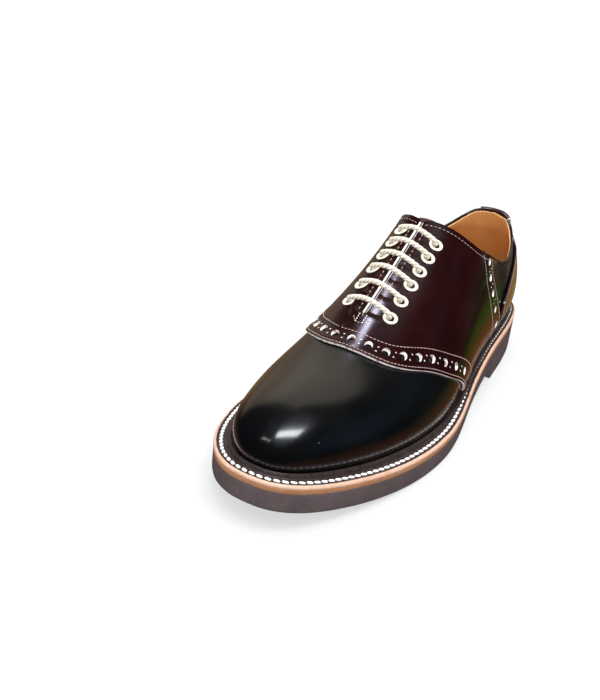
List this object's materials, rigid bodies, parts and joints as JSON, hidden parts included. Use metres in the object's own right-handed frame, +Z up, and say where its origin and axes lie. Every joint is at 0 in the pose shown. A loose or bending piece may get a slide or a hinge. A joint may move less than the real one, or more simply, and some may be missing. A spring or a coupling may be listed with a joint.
{
  "type": "saddle shoe",
  "caption": "Left lace-up saddle shoe: polished dark leather with a contrast saddle over the instep, on a thick rubber sole with a low heel and a stitched welt.",
  "frame": {"origin": "centre of the shoe's outline on the floor, z = 0 at the underside of the heel and of the ball", "axes": "+Z up, toe towards -Y, outer (lateral) side towards +X"},
  "size_m": [0.1022, 0.3, 0.107],
  "materials": {
    "sole_rubber": "matt, brown-grey",
    "midsole_leather": "tan, satin",
    "welt_leather": "dark brown, satin",
    "insole_leather": "tan, matt",
    "black_leather": "black, polished",
    "burgundy_leather": "deep burgundy, polished",
    "tongue_leather": "burgundy brown, satin",
    "eyelet_enamel": "cream enamel",
    "lace_cotton": "cream, woven cord"
  },
  "bodies": {
    "root": {"outsole": "sole_rubber", "heel": "sole_rubber", "midsole": "midsole_leather", "welt": "welt_leather", "insole": "insole_leather", "upper": "black_leather", "saddle": "burgundy_leather", "backstay": "burgundy_leather", "tongue": "tongue_leather", "eyelet_lateral_1": "eyelet_enamel", "eyelet_medial_1": "eyelet_enamel", "eyelet_lateral_2": "eyelet_enamel", "eyelet_medial_2": "eyelet_enamel", "eyelet_lateral_3": "eyelet_enamel", "eyelet_medial_3": "eyelet_enamel", "eyelet_lateral_4": "eyelet_enamel", "eyelet_medial_4": "eyelet_enamel", "eyelet_lateral_5": "eyelet_enamel", "eyelet_medial_5": "eyelet_enamel", "eyelet_lateral_6": "eyelet_enamel", "eyelet_medial_6": "eyelet_enamel", "lace_bar_1": "lace_cotton", "lace_bar_2": "lace_cotton", "lace_bar_3": "lace_cotton", "lace_bar_4": "lace_cotton", "lace_bar_5": "lace_cotton", "lace_bar_6": "lace_cotton"}
  },
  "joints": []
}
